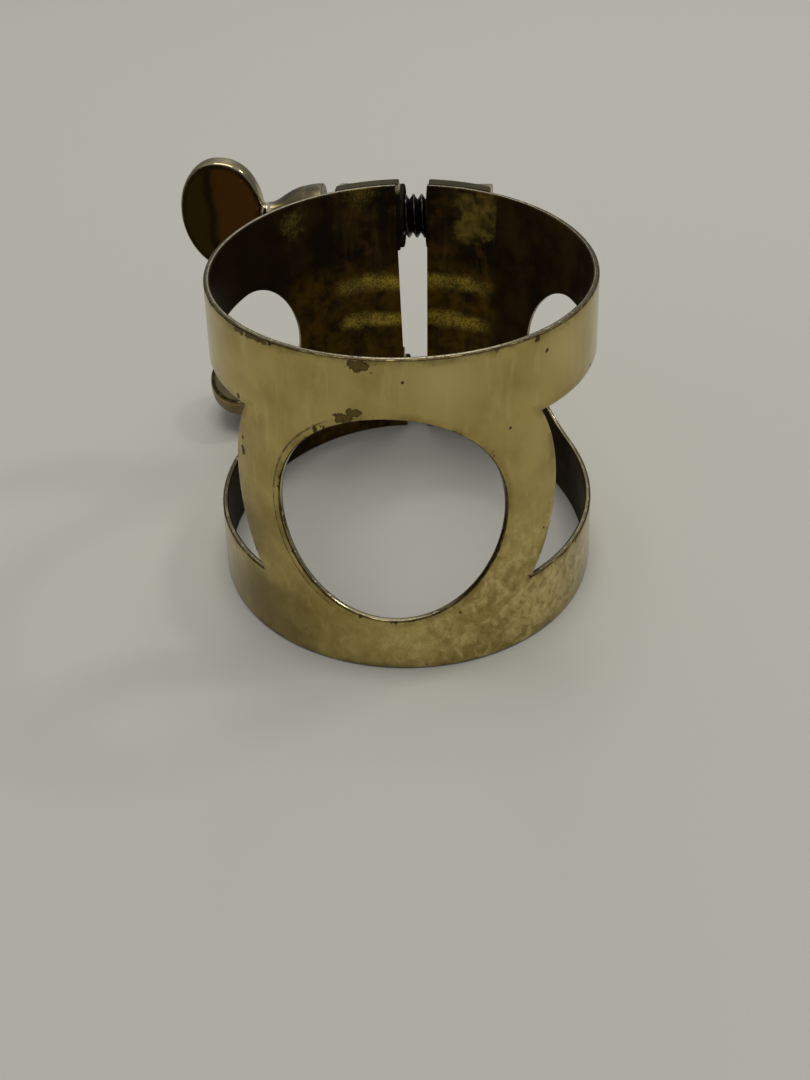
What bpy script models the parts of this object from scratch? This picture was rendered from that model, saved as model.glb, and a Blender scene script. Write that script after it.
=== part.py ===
"""Two-screw saxophone ligature: a rolled brass band, four posts and two thumbscrews.

Metres, +Z up. The origin is the centre of the band's wide lower rim, on the band's
axis. The round hole faces -Y and the slit faces +Y. Angles round the band start at
the front and are positive towards +X.
"""
import math

import bmesh
import bpy
from mathutils import Matrix

MM = 0.001

# Band: one sheet, rolled to a cone that is a little egg-shaped where it springs open
BAND_TOP_RADIUS = 11.88 * MM
BAND_BOTTOM_RADIUS = 13.79 * MM
BAND_HEIGHT = 21.76 * MM
SHEET = 0.40 * MM
OVAL_TOP = 0.005
OVAL_BOTTOM = 0.017
EGG_TOP = -0.010
EGG_BOTTOM = -0.014
BAND_COLUMNS = 96

# Slit: distance of each cut end from the centre plane, at the lower and the upper rim
SLIT_LEFT_BOTTOM = 0.95 * MM
SLIT_LEFT_TOP = 1.30 * MM
SLIT_RIGHT_BOTTOM = 0.77 * MM
SLIT_RIGHT_TOP = 0.98 * MM

# Round front hole and the two side windows, measured along the sheet
HOLE_RADIUS = 7.15 * MM
HOLE_HEIGHT = 11.15 * MM
RING_RADIUS = 11.0 * MM
WINDOW_HALF_HEIGHT = 5.90 * MM
WINDOW_END = 30.55 * MM
HOLE_STEPS = 64
WINDOW_ARC_STEPS = 16

# Posts: a saddle foot soldered on the band, a barrel for the screw, and the solder web between them
SOLDER_GAP = 0.04 * MM
FOOT_THICKNESS = 1.0 * MM
FOOT_NEAR = 1.05 * MM
FOOT_FAR = 5.45 * MM
FOOT_COLUMNS = 8
BARREL_RADIUS = 2.25 * MM
BARREL_NEAR = 0.82 * MM
BARREL_FAR = 5.65 * MM
WEB_INSET = 0.15 * MM
WEB_HALF_WIDTH = 1.30 * MM
AXIS_OVER_FOOT = 1.90 * MM
AXIS_OFF_BAND = 1.98 * MM
CLEAR_BORE_RADIUS = 1.65 * MM
TAPPED_BORE_RADIUS = 1.73 * MM
UPPER_FOOT = (16.60 * MM, BAND_HEIGHT)
LOWER_FOOT = (1.40 * MM, 7.46 * MM)
ROUND_SIDES = 32

# Thumbscrews, along +X from the slit's centre plane at the upper screw's rest place
THREAD_RADIUS = 1.55 * MM
THREAD_ROOT = 1.18 * MM
THREAD_PITCH = 0.60 * MM
THREAD_STEPS = 20
STUD_TIP = 6.40 * MM
STUD_CHAMFER = 0.35 * MM
COLLAR_FACE = -6.85 * MM
COLLAR_BACK = -8.30 * MM
COLLAR_RADIUS = 2.25 * MM
COLLAR_EDGE = 0.18 * MM
TENON_RADIUS = 0.80 * MM
TENON_END = -9.30 * MM
RUNNING_GAP = 0.05 * MM
NECK_RADIUS = 0.92 * MM
NECK_END = -11.10 * MM
NECK_NOSE = -12.40 * MM
FLARE_STEPS = 8
PADDLE_NEAR = -11.40 * MM
PADDLE_FAR = -17.70 * MM
PADDLE_HALF_WIDTH = 4.10 * MM
PADDLE_THICKNESS = 1.45 * MM
PADDLE_EDGE = 0.40 * MM
PADDLE_FILLET = 1.20 * MM
PADDLE_TONGUE = 0.60 * MM
PADDLE_ROOT_ANGLE = math.radians(16.0)
PADDLE_STEPS = 28
UPPER_TURN = 0.0
LOWER_TURN = math.radians(101.0)
LOWER_SHIFT = -0.60 * MM

# The band bends about this upright line when the screws draw the slit closed
FLEX_X = 3.24 * MM
FLEX_Y = -12.40 * MM

MEAN_RADIUS = 0.5 * (BAND_TOP_RADIUS + BAND_BOTTOM_RADIUS)
BRASS = (0.60, 0.50, 0.21)
DULL_BRASS = (0.44, 0.38, 0.19)
DARK_BRASS = (0.16, 0.14, 0.09)


def clear_scene():
    for old in list(bpy.data.objects):
        bpy.data.objects.remove(old, do_unlink=True)


def new_collection(name):
    collection = bpy.data.collections.new(name)
    bpy.context.scene.collection.children.link(collection)
    return collection


def metal(name, colour, roughness):
    material = bpy.data.materials.new(name)
    material.use_nodes = True
    shader = material.node_tree.nodes["Principled BSDF"]
    shader.inputs["Base Color"].default_value = (*colour, 1.0)
    shader.inputs["Metallic"].default_value = 1.0
    shader.inputs["Roughness"].default_value = roughness
    return material


def add_object(name, mesh, collection):
    new = bpy.data.objects.new(name, mesh)
    collection.objects.link(new)
    return new


def as_cutter(shape):
    shape.hide_render = True
    shape.display_type = "WIRE"
    return shape


def mesh_of(shape):
    """The evaluated mesh of an object, with its doubled points welded."""
    graph = bpy.context.evaluated_depsgraph_get()
    mesh = bpy.data.meshes.new_from_object(shape.evaluated_get(graph))
    cage = bmesh.new()
    cage.from_mesh(mesh)
    bmesh.ops.remove_doubles(cage, verts=cage.verts, dist=1e-7)
    bmesh.ops.recalc_face_normals(cage, faces=cage.faces)
    cage.to_mesh(mesh)
    cage.free()
    return mesh


def merge_flat_faces(mesh):
    cage = bmesh.new()
    cage.from_mesh(mesh)
    bmesh.ops.dissolve_limit(cage, angle_limit=math.radians(0.5), verts=cage.verts, edges=cage.edges)
    cage.to_mesh(mesh)
    cage.free()


def boolean(shape, operation, tool):
    modifier = shape.modifiers.new(tool.name, "BOOLEAN")
    modifier.operation = operation
    modifier.solver = "EXACT"
    modifier.object = tool


def outline_solid(name, points, half_depth, collection):
    """A flat outline in the XZ plane, extruded both ways along Y."""
    curve = bpy.data.curves.new(name, "CURVE")
    curve.dimensions = "2D"
    curve.fill_mode = "BOTH"
    curve.extrude = half_depth
    spline = curve.splines.new("POLY")
    spline.points.add(len(points) - 1)
    for point, (x, z) in zip(spline.points, points):
        point.co = (x, z, 0.0, 1.0)
    spline.use_cyclic_u = True
    drawn = add_object(name + "_outline", curve, collection)
    mesh = mesh_of(drawn)
    merge_flat_faces(mesh)
    bpy.data.objects.remove(drawn, do_unlink=True)
    mesh.transform(Matrix.Rotation(math.pi / 2, 4, "X"))
    return add_object(name, mesh, collection)


def turned(name, profile, steps, collection, pitch=0.0, closed=False):
    """A profile of (place along the axis, radius) points, swept one turn about X."""
    mesh = bpy.data.meshes.new(name + "_profile")
    edges = [(i, i + 1) for i in range(len(profile) - 1)]
    if closed:
        edges.append((len(profile) - 1, 0))
    mesh.from_pydata([(radius, 0.0, along) for along, radius in profile], edges, [])
    drawn = add_object(name + "_profile", mesh, collection)
    screw = drawn.modifiers.new("Turn", "SCREW")
    screw.steps = steps
    screw.render_steps = steps
    screw.screw_offset = pitch
    screw.use_merge_vertices = True
    screw.merge_threshold = 1e-7
    swept = mesh_of(drawn)
    bpy.data.objects.remove(drawn, do_unlink=True)
    swept.transform(Matrix.Rotation(math.pi / 2, 4, "Y"))
    return add_object(name, swept, collection)


def cylinder_along_x(name, radius, start, end, y, z, collection):
    bpy.ops.mesh.primitive_cylinder_add(
        vertices=ROUND_SIDES,
        radius=radius,
        depth=end - start,
        location=(0.5 * (start + end), y, z),
        rotation=(0.0, math.pi / 2, 0.0),
    )
    shape = bpy.context.object
    shape.name = name
    for owner in list(shape.users_collection):
        owner.objects.unlink(shape)
    collection.objects.link(shape)
    return shape


def lerp(start, end, share):
    return start + (end - start) * share


def cone_radius(z):
    return lerp(BAND_BOTTOM_RADIUS, BAND_TOP_RADIUS, z / BAND_HEIGHT)


def band_radius(angle, z):
    """Outer radius of the band at an angle and a height."""
    share = z / BAND_HEIGHT
    oval = lerp(OVAL_BOTTOM, OVAL_TOP, share) * math.cos(2 * angle)
    egg = lerp(EGG_BOTTOM, EGG_TOP, share) * math.cos(3 * angle)
    return cone_radius(z) * (1 + oval + egg)


def back_of_band(x, z):
    """The band's outer Y at the back, straight behind x."""
    radius = cone_radius(z)
    for _ in range(6):
        angle = math.pi - math.asin(x / radius)
        radius = band_radius(angle, z)
    return -radius * math.cos(angle)


def slit_angles(z):
    share = z / BAND_HEIGHT
    left = lerp(SLIT_LEFT_BOTTOM, SLIT_LEFT_TOP, share)
    right = lerp(SLIT_RIGHT_BOTTOM, SLIT_RIGHT_TOP, share)
    return (math.asin(left / cone_radius(z)) - math.pi,
            math.pi - math.asin(right / cone_radius(z)))


def on_sheet(along, z):
    """A length along the sheet at height z, in the flat plate's own coordinates."""
    return (along * MEAN_RADIUS / cone_radius(z), z)


def circle_on_sheet(radius, start, end, steps):
    """Points of a circle about the front hole's centre; angles start at the top."""
    points = []
    for i in range(steps + 1):
        angle = lerp(start, end, i / steps)
        points.append(on_sheet(radius * math.sin(angle), HOLE_HEIGHT + radius * math.cos(angle)))
    return points


def window_outline(side):
    """Window with a round back end; its front end follows the ring round the hole."""
    corner = math.acos(WINDOW_HALF_HEIGHT / RING_RADIUS)
    points = circle_on_sheet(RING_RADIUS, math.pi - corner, corner, WINDOW_ARC_STEPS)
    centre = WINDOW_END - WINDOW_HALF_HEIGHT
    for i in range(WINDOW_ARC_STEPS + 1):
        angle = math.pi * i / WINDOW_ARC_STEPS
        points.append((centre + WINDOW_HALF_HEIGHT * math.sin(angle),
                       HOLE_HEIGHT + WINDOW_HALF_HEIGHT * math.cos(angle)))
    return [(side * x, z) for x, z in points]


def make_band(parts, cutters):
    """Cuts the flat sheet as it is stamped, then rolls it up."""
    cage = bmesh.new()
    bmesh.ops.create_grid(cage, x_segments=BAND_COLUMNS, y_segments=1, size=0.5)
    for vert in cage.verts:
        z = (vert.co.y + 0.5) * BAND_HEIGHT
        left, right = slit_angles(z)
        vert.co = (lerp(left, right, vert.co.x + 0.5) * MEAN_RADIUS, 0.0, z)
    mesh = bpy.data.meshes.new("flat_sheet")
    cage.to_mesh(mesh)
    cage.free()
    flat = add_object("flat_sheet", mesh, cutters)
    thick = flat.modifiers.new("Sheet", "SOLIDIFY")
    thick.thickness = SHEET
    thick.offset = -1.0
    hole = circle_on_sheet(HOLE_RADIUS, 0.0, 2 * math.pi, HOLE_STEPS)[:-1]
    outlines = {"front_hole": hole, "right_window": window_outline(1), "left_window": window_outline(-1)}
    tools = [outline_solid(name, points, 2 * SHEET, cutters) for name, points in outlines.items()]
    for tool in tools:
        boolean(flat, "DIFFERENCE", as_cutter(tool))
    rolled = mesh_of(flat)
    for vert in rolled.vertices:
        angle = vert.co.x / MEAN_RADIUS
        radius = band_radius(angle, vert.co.z) - vert.co.y
        vert.co = (radius * math.sin(angle), -radius * math.cos(angle), vert.co.z)
    for spent in tools + [flat]:
        bpy.data.objects.remove(spent, do_unlink=True)
    return add_object("band", rolled, parts)


def saddle_block(name, x_range, z_range, y_range, collection):
    """A block whose inner and outer faces follow the back of the band."""
    cage = bmesh.new()
    bmesh.ops.create_cube(cage, size=1.0)
    for i in range(1, FOOT_COLUMNS):
        cut = i / FOOT_COLUMNS - 0.5
        everything = cage.verts[:] + cage.edges[:] + cage.faces[:]
        bmesh.ops.bisect_plane(cage, geom=everything, plane_co=(cut, 0, 0), plane_no=(1, 0, 0))
    for vert in cage.verts:
        x = lerp(*x_range, vert.co.x + 0.5)
        z = lerp(*z_range, vert.co.z + 0.5)
        y = back_of_band(x, z) + lerp(*y_range, vert.co.y + 0.5)
        vert.co = (x, y, z)
    mesh = bpy.data.meshes.new(name)
    cage.to_mesh(mesh)
    cage.free()
    return add_object(name, mesh, collection)


def make_post(name, side, foot, bore_radius, parts, cutters):
    """Saddle foot with a barrel on it, drilled along X; side is -1 left, 1 right."""
    axis_y, axis_z = screw_axis(foot)
    foot_x = sorted((side * FOOT_NEAR, side * FOOT_FAR))
    barrel_x = sorted((side * BARREL_NEAR, side * BARREL_FAR))
    foot_y = (SOLDER_GAP, SOLDER_GAP + FOOT_THICKNESS)
    post = saddle_block(name, foot_x, foot, foot_y, parts)
    barrel = cylinder_along_x(name + "_barrel", BARREL_RADIUS, *barrel_x, axis_y, axis_z, cutters)
    past = (barrel_x[0] - FOOT_THICKNESS, barrel_x[1] + FOOT_THICKNESS)
    tall = (foot[0] - FOOT_THICKNESS, foot[1] + FOOT_THICKNESS)
    inside = (-BARREL_RADIUS, SOLDER_GAP + 0.4 * FOOT_THICKNESS)
    clearance = saddle_block(name + "_clearance", past, tall, inside, cutters)
    web_x = (foot_x[0] + WEB_INSET, foot_x[1] - WEB_INSET)
    web_z = (axis_z - WEB_HALF_WIDTH, axis_z + WEB_HALF_WIDTH)
    web_y = (SOLDER_GAP + 0.6 * FOOT_THICKNESS, AXIS_OFF_BAND)
    web = saddle_block(name + "_web", web_x, web_z, web_y, cutters)
    bore = cylinder_along_x(name + "_bore", bore_radius, *past, axis_y, axis_z, cutters)
    boolean(barrel, "DIFFERENCE", as_cutter(clearance))
    boolean(post, "UNION", as_cutter(barrel))
    boolean(post, "UNION", as_cutter(web))
    boolean(post, "DIFFERENCE", as_cutter(bore))
    return post


def screw_axis(foot):
    """Y and Z of the screw in the posts whose feet have this bottom and top."""
    z = foot[0] + AXIS_OVER_FOOT
    return back_of_band(0.0, z) + AXIS_OFF_BAND, z


def make_stud(name, parts, cutters):
    """Threaded rod with a plain tenon: a long thread, kept only inside a turned blank.

    The rod comes first in the list, then its tool.
    """
    shoulder = COLLAR_FACE + RUNNING_GAP
    past = 3 * THREAD_PITCH
    teeth = math.ceil((STUD_TIP - TENON_END + 2 * past) / THREAD_PITCH)
    ridge = []
    for i in range(2 * teeth + 1):
        along = TENON_END - past + 0.5 * i * THREAD_PITCH
        ridge.append((along, THREAD_RADIUS if i % 2 else THREAD_ROOT))
    stud = turned(name, ridge, THREAD_STEPS, parts, pitch=THREAD_PITCH)
    cage = bmesh.new()
    cage.from_mesh(stud.data)
    bmesh.ops.holes_fill(cage, edges=[edge for edge in cage.edges if edge.is_boundary], sides=0)
    bmesh.ops.recalc_face_normals(cage, faces=cage.faces)
    cage.to_mesh(stud.data)
    cage.free()
    blank_radius = THREAD_RADIUS + RUNNING_GAP
    blank = turned(name + "_blank", [
        (STUD_TIP, 0.0),
        (STUD_TIP, THREAD_ROOT - 0.5 * RUNNING_GAP),
        (STUD_TIP - STUD_CHAMFER, blank_radius),
        (shoulder, blank_radius),
        (shoulder, TENON_RADIUS),
        (TENON_END, TENON_RADIUS),
        (TENON_END, 0.0),
    ], ROUND_SIDES, cutters)
    boolean(stud, "INTERSECT", as_cutter(blank))
    return [stud, blank]


def make_collar(name, parts):
    bore = TENON_RADIUS + RUNNING_GAP
    return turned(name, [
        (COLLAR_FACE, bore),
        (COLLAR_FACE, COLLAR_RADIUS - COLLAR_EDGE),
        (COLLAR_FACE - COLLAR_EDGE, COLLAR_RADIUS),
        (COLLAR_BACK, COLLAR_RADIUS),
        (COLLAR_BACK, bore),
    ], ROUND_SIDES, parts, closed=True)


def smooth_max(first, second, blend):
    overlap = max(blend - abs(first - second), 0.0) / blend
    return max(first, second) + 0.25 * blend * overlap * overlap


def paddle_outline():
    """Oval that runs with a small fillet into a tongue, which ends inside the neck."""
    centre = 0.5 * (PADDLE_NEAR + PADDLE_FAR)
    half = 0.5 * (PADDLE_NEAR - PADDLE_FAR)
    upper = []
    for i in range(PADDLE_STEPS + 1):
        angle = lerp(math.pi, PADDLE_ROOT_ANGLE, i / PADDLE_STEPS)
        x = centre + half * math.cos(angle)
        width = PADDLE_HALF_WIDTH * math.sin(angle)
        if x > centre:
            width = smooth_max(width, PADDLE_TONGUE, PADDLE_FILLET)
        upper.append((x, width))
    upper.append((NECK_END, PADDLE_TONGUE))
    return upper + [(x, -width) for x, width in reversed(upper[1:])]


def neck_profile():
    """Trumpet flare from the collar to the neck, then a nose inside the paddle."""
    start = COLLAR_BACK - RUNNING_GAP
    points = [(start, 0.0)]
    for i in range(FLARE_STEPS + 1):
        share = i / FLARE_STEPS
        fall = 0.5 - 0.5 * math.cos(math.pi * share)
        points.append((lerp(start, NECK_END, share), lerp(COLLAR_RADIUS, NECK_RADIUS, fall)))
    for i in range(1, FLARE_STEPS + 1):
        angle = 0.5 * math.pi * i / FLARE_STEPS
        points.append((lerp(NECK_END, NECK_NOSE, math.sin(angle)), NECK_RADIUS * math.cos(angle)))
    points[-1] = (NECK_NOSE, 0.0)
    return points


def make_paddle(name, parts, cutters):
    """Thumb paddle with its neck and the tenon's socket; the paddle comes first in the list."""
    paddle = outline_solid(name, paddle_outline(), 0.5 * PADDLE_THICKNESS, parts)
    edge = paddle.modifiers.new("Rounded edge", "BEVEL")
    edge.width = PADDLE_EDGE
    edge.segments = 3
    edge.limit_method = "ANGLE"
    edge.angle_limit = math.radians(60)
    neck = turned(name + "_neck", neck_profile(), ROUND_SIDES, cutters)
    socket_start = TENON_END - RUNNING_GAP
    socket = cylinder_along_x(name + "_socket", TENON_RADIUS + RUNNING_GAP, socket_start, COLLAR_FACE,
                              0.0, 0.0, cutters)
    boolean(paddle, "UNION", as_cutter(neck))
    boolean(paddle, "DIFFERENCE", as_cutter(socket))
    return [paddle, neck, socket]


def make_thumbscrew(level, foot, turn, shift, parts, cutters):
    """One screw's stud, collar and paddle, carried by an empty on the screw's axis."""
    axis = bpy.data.objects.new(level + "_screw_axis", None)
    axis.empty_display_size = THREAD_PITCH
    parts.objects.link(axis)
    axis.location = (shift, *screw_axis(foot))
    axis.rotation_euler = (turn, 0.0, 0.0)
    stud, *stud_tools = make_stud(level + "_stud", parts, cutters)
    collar = make_collar(level + "_collar", parts)
    paddle, *paddle_tools = make_paddle(level + "_paddle", parts, cutters)
    stud.data.materials.append(metal(stud.name, DARK_BRASS, 0.35))
    collar.data.materials.append(metal(collar.name, BRASS, 0.28))
    paddle.data.materials.append(metal(paddle.name, BRASS, 0.22))
    for carried in [stud, collar, paddle] + stud_tools + paddle_tools:
        carried.parent = axis


def shade(piece):
    piece.data.shade_smooth()
    piece.data.set_sharp_from_angle(angle=math.radians(35))


def main():
    clear_scene()
    parts = new_collection("Saxophone ligature")
    cutters = new_collection("Cutters")
    band = make_band(parts, cutters)
    band.data.materials.append(metal(band.name, BRASS, 0.25))
    flex_axis = bpy.data.objects.new("band_flex_axis", None)
    flex_axis.location = (FLEX_X, FLEX_Y, 0.0)
    flex_axis.empty_display_size = THREAD_PITCH
    parts.objects.link(flex_axis)
    bpy.context.view_layer.update()
    for level, foot in (("upper", UPPER_FOOT), ("lower", LOWER_FOOT)):
        left = make_post(level + "_left_post", -1, foot, CLEAR_BORE_RADIUS, parts, cutters)
        right = make_post(level + "_right_post", 1, foot, TAPPED_BORE_RADIUS, parts, cutters)
        right.parent = flex_axis
        right.matrix_parent_inverse = flex_axis.matrix_world.inverted()
        for post in (left, right):
            post.data.materials.append(metal(post.name, DULL_BRASS, 0.35))
    make_thumbscrew("upper", UPPER_FOOT, UPPER_TURN, 0.0, parts, cutters)
    make_thumbscrew("lower", LOWER_FOOT, LOWER_TURN, LOWER_SHIFT, parts, cutters)
    for piece in parts.objects:
        if piece.type == "MESH":
            shade(piece)


main()
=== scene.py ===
import math
from types import SimpleNamespace

import bpy
import numpy as np
from mathutils import Matrix, Vector
from mathutils.geometry import delaunay_2d_cdt


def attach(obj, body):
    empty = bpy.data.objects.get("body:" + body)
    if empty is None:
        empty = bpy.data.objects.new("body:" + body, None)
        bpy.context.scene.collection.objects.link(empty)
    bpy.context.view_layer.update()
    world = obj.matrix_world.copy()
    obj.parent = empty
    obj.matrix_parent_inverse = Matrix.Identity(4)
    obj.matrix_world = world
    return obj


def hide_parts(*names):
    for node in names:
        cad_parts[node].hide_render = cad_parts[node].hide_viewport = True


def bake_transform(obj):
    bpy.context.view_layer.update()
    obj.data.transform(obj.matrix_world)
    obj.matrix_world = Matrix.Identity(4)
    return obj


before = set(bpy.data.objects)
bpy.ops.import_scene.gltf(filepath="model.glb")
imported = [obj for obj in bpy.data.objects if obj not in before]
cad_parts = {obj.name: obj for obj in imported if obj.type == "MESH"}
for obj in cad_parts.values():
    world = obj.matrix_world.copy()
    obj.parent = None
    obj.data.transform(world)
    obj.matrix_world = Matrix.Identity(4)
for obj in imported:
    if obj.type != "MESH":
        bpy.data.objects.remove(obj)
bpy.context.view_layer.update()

MM = 0.001

# Sizes below are in millimetres, in the frame of the CAD model
BAND_TOP_RADIUS = 11.88
BAND_BOTTOM_RADIUS = 13.79
BAND_HEIGHT = 21.76
SHEET = 0.40
OVAL_TOP, OVAL_BOTTOM = 0.005, 0.017
EGG_TOP, EGG_BOTTOM = -0.010, -0.014
SLIT_LEFT_BOTTOM, SLIT_LEFT_TOP = 0.95, 1.30
SLIT_RIGHT_BOTTOM, SLIT_RIGHT_TOP = 0.77, 0.98
HOLE_RADIUS = 7.15
HOLE_HEIGHT = 11.15
RING_RADIUS = 11.0
WINDOW_HALF_HEIGHT = 5.90
WINDOW_END = 30.55
WINDOW_CENTRE = WINDOW_END - WINDOW_HALF_HEIGHT
MEAN_RADIUS = 0.5 * (BAND_TOP_RADIUS + BAND_BOTTOM_RADIUS)
EDGE_ROUND = 0.10
GRAIN = 0.30

SOLDER_GAP = 0.04
FOOT_THICKNESS = 1.0
FOOT_NEAR, FOOT_FAR = 1.05, 5.45
BARREL_RADIUS = 2.25
BARREL_NEAR, BARREL_FAR = 0.82, 5.65
AXIS_OVER_FOOT = 1.90
AXIS_OFF_BAND = 1.98
CLEAR_BORE, TAPPED_BORE = 1.65, 1.73
POST_EDGE = 0.14
BORE_MOUTH = 0.14
FOOT = {"upper": (16.60, BAND_HEIGHT), "lower": (1.40, 7.46)}

THREAD_RADIUS, THREAD_ROOT, THREAD_PITCH = 1.55, 1.18, 0.60
STUD_TIP, STUD_CHAMFER = 6.40, 0.35
COLLAR_FACE, COLLAR_BACK = -6.85, -8.30
COLLAR_RADIUS, COLLAR_EDGE = 2.25, 0.10
FLARE_RADIUS = 2.08
TENON_RADIUS = 0.80
RUNNING_GAP, SHOWN_GAP = 0.05, 0.005
NECK_RADIUS, NECK_END, NECK_NOSE = 0.92, -11.10, -12.40
PADDLE_NEAR, PADDLE_FAR = -11.40, -17.70
PADDLE_HALF_WIDTH, PADDLE_THICKNESS = 4.09, 1.45
PADDLE_EDGE = 0.36
PADDLE_SHOULDER = -11.1
PADDLE_FULLNESS = 2.35
PADDLE_CENTRE = 0.5 * (PADDLE_NEAR + PADDLE_FAR)
PADDLE_HALF_LENGTH = 0.5 * (PADDLE_NEAR - PADDLE_FAR)
TURN = {"upper": 0.0, "lower": math.radians(101.0)}
SHIFT = {"upper": 0.0, "lower": -0.60}

# Solder between feet and barrels
SOLDER_INSET, SOLDER_DEPTH = 0.12, 0.2
FILLET_ABOVE, FILLET_BELOW, FILLET_LEAST = 0.60, 0.45, 0.05
FOOT_MARGIN, FLAT_LEDGE = 0.25, 0.10

# Thread profile, and the runs of the collar, the neck and the paddle
THREAD_FLANK_END, THREAD_FLANK, THREAD_POWER = 0.94, 0.80, 0.9
CHAMFER_SLOPE, THREAD_START = 1.2, 0.2
COLLAR_SWELL = 0.9
SHOULDER_END, SHOULDER_BLEND = -13.5, 1.7
PLATE_START, TIP_ANGLE = -12.2, 0.015
NECK_FADE, EDGE_POWER = 0.5, 3.5
FACE_BLEND, LEAST_BLEND = 0.35, 0.02

# How finely the pieces are divided, and the angles in degrees above which an edge is sharp
CONE_ROUNDS = 6
ARC_POINTS = 80
ROW_STEP = 0.866
SHEET_EDGE_STEPS, EDGE_STEPS = 3, 4
WALL_STEP = 0.35
BARREL_SIDES, STUD_SIDES, COLLAR_SIDES, PADDLE_SIDES = 72, 48, 80, 120
FOOT_STATIONS, SOLDER_STATIONS, FLANK_STEPS = 22, 18, 8
THREAD_STEPS, SWELL_STEPS = 12, 8
NECK_STATIONS, SHOULDER_STATIONS, PLATE_STATIONS = 26, 30, 60
SHARP_ANGLE, SOFT_ANGLE, THREAD_ANGLE = 40.0, 60.0, 30.0
TRIM, TINY, WELD = 0.005, 1e-6, 1e-7

# Marks on the band: centre and reach, then how much flatter than wide a stain is, or how ragged a spot
STAINS = (
    ((-1.41, -11.77, 21.45), 0.62, 2.0), ((-2.39, -11.92, 18.25), 0.52, 2.0),
    ((-1.69, -12.00, 18.57), 0.48, 2.2), ((-8.15, -8.78, 21.62), 0.62, 3.0),
    ((-7.50, -9.33, 21.60), 0.60, 3.0), ((-6.63, -9.95, 21.58), 0.40, 3.0),
    ((8.45, -8.61, 20.64), 0.11, 1.0), ((7.88, -9.01, 21.60), 0.16, 1.0),
    ((-4.02, -11.59, 17.32), 0.14, 0.6), ((-8.91, -8.56, 17.40), 0.16, 0.8),
    ((-8.95, -8.87, 14.65), 0.13, 0.5), ((-9.08, -8.86, 13.70), 0.13, 0.5),
)
STAIN_SOFTNESS, STAIN_BORDER, STAIN_RAGGEDNESS = 0.05, 0.14, 4.5
FAINT_SPOTS = (((-3.7, 11.0, 21.6), 0.9, 3.0), ((-8.2, 8.1, 20.5), 0.7, 4.0))
SOOTY_SPOTS = (((5.48, 10.55, 17.84), 0.50), ((5.30, 10.39, 20.37), 0.22), ((4.67, 11.43, 13.48), 0.45))
DULL_PATCHES = (((-8.9, -10.4, 2.4), 3.3), ((-9.4, -8.9, 8.5), 2.4))
# Lighter patches on the front are painted highlights
HIGHLIGHT_PATCHES = (((9.4, -9.9, 2.6), 2.6), ((3.0, -12.0, 20.5), 1.6), ((9.3, -7.6, 20.2), 1.4))
RUBBED_HEIGHTS = (14.3, 11.1)

# Where the looks change along an axis: each pair runs from none to full
BACK, FRONT = (6.0, 9.0), (-4.0, -6.0)
SLIT_SIDES, SLIT_HEIGHT = (1.8, 1.5), (21.2, 20.6)
# The last pair runs from the painted highlight to the painted shade along the front hole's rim
HOLE_STRETCH, HOLE_RIM, SHADED_RIM_SIDE = 1.12, (8.4, 8.0), (2.0, 5.0)
RING_FROM_EDGE, RING_SIDE = 0.40, (-2.5, -4.5)
HAZE_FROM_EDGE = (0.60, 0.12)
MOTTLE_HEIGHT, MOTTLE_SIDES, MOTTLE_FRONT = (13.0, 4.0), (-4.0, 8.0), (-1.0, -7.0)
PLATE_SIDES = (5.85, 5.45)
STRIPE_SIDES, STRIPE_REACH = (6.05, 4.8), (0.95, 0.10)
PATCH_LEFT, PATCH_RIGHT = (2.7, 3.6), (5.95, 5.75)
PATCH_BOTTOM, PATCH_TOP = (17.6, 18.5), (21.95, 21.15)
WARM_HEIGHT, WARM_SIDE, DARKEST_SIDE = (16.8, 15.0), (6.6, 5.6), (-8.0, -9.5)
LEDGE_DEPTH = (0.75, 0.55)
NECK_SHEEN, EDGING_COLOUR = (-9.6, -10.9), (-11.2, -11.9)
FLARE_GRIME, FLARE_ROUGH = (-10.6, -9.6), (-10.4, -9.4)
SIDE_DEPTH, SIDE_SATIN_AND_SHADE = (0.06, 0.01), (-11.6, -12.4)
# Painted reflections on the upper paddle's face: where its olive part turns brown, and the dark line of the
# band's edge
REFLECTION_PARTING, REFLECTED_EDGE_LINE, REFLECTED_EDGE_REACH = (-15.2, -14.4), -15.3, (0.50, 0.05)
BEAD = {"upper": 0.12, "lower": 0.10}

# Colours, linear
GOLD, GOLD_DEEP, GOLD_PALE = (0.50, 0.395, 0.140), (0.38, 0.292, 0.095), (0.60, 0.495, 0.205)
# The shade and gleam golds paint the reflections of ripples low on the front
GOLD_SHADE, GOLD_GLEAM = (0.21, 0.155, 0.046), (0.76, 0.64, 0.29)
HAZE, DULL_GOLD = (0.19, 0.14, 0.045), (0.17, 0.125, 0.038)
STAIN_EDGE, STAIN_CORE = (0.045, 0.024, 0.006), (0.150, 0.100, 0.026)
SEAM_DARK = (0.045, 0.026, 0.008)
# The darkest rim colour is painted shade on the right of the front hole's rim
RIM_DULL, RIM_PALE, RIM_SHADE = (0.21, 0.185, 0.115), (0.33, 0.285, 0.165), (0.050, 0.035, 0.012)
# The darkest inside colours are tarnish, darkened further to paint the shade inside the ring
DARK_TARNISH_AND_SHADE, UMBER, RUST = (0.014, 0.008, 0.0018), (0.042, 0.024, 0.005), (0.085, 0.040, 0.008)
RUSSET, OLIVE = (0.120, 0.064, 0.001), (0.54, 0.395, 0.045)
# The pale wear colour is also a painted highlight on the front hole's rim
DULL, PALE_WEAR_AND_HIGHLIGHT, BROWN = (0.29, 0.25, 0.14), (0.55, 0.49, 0.29), (0.105, 0.060, 0.020)
POST_DEEP, POST_PALE = (0.26, 0.222, 0.112), (0.36, 0.303, 0.145)
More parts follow.
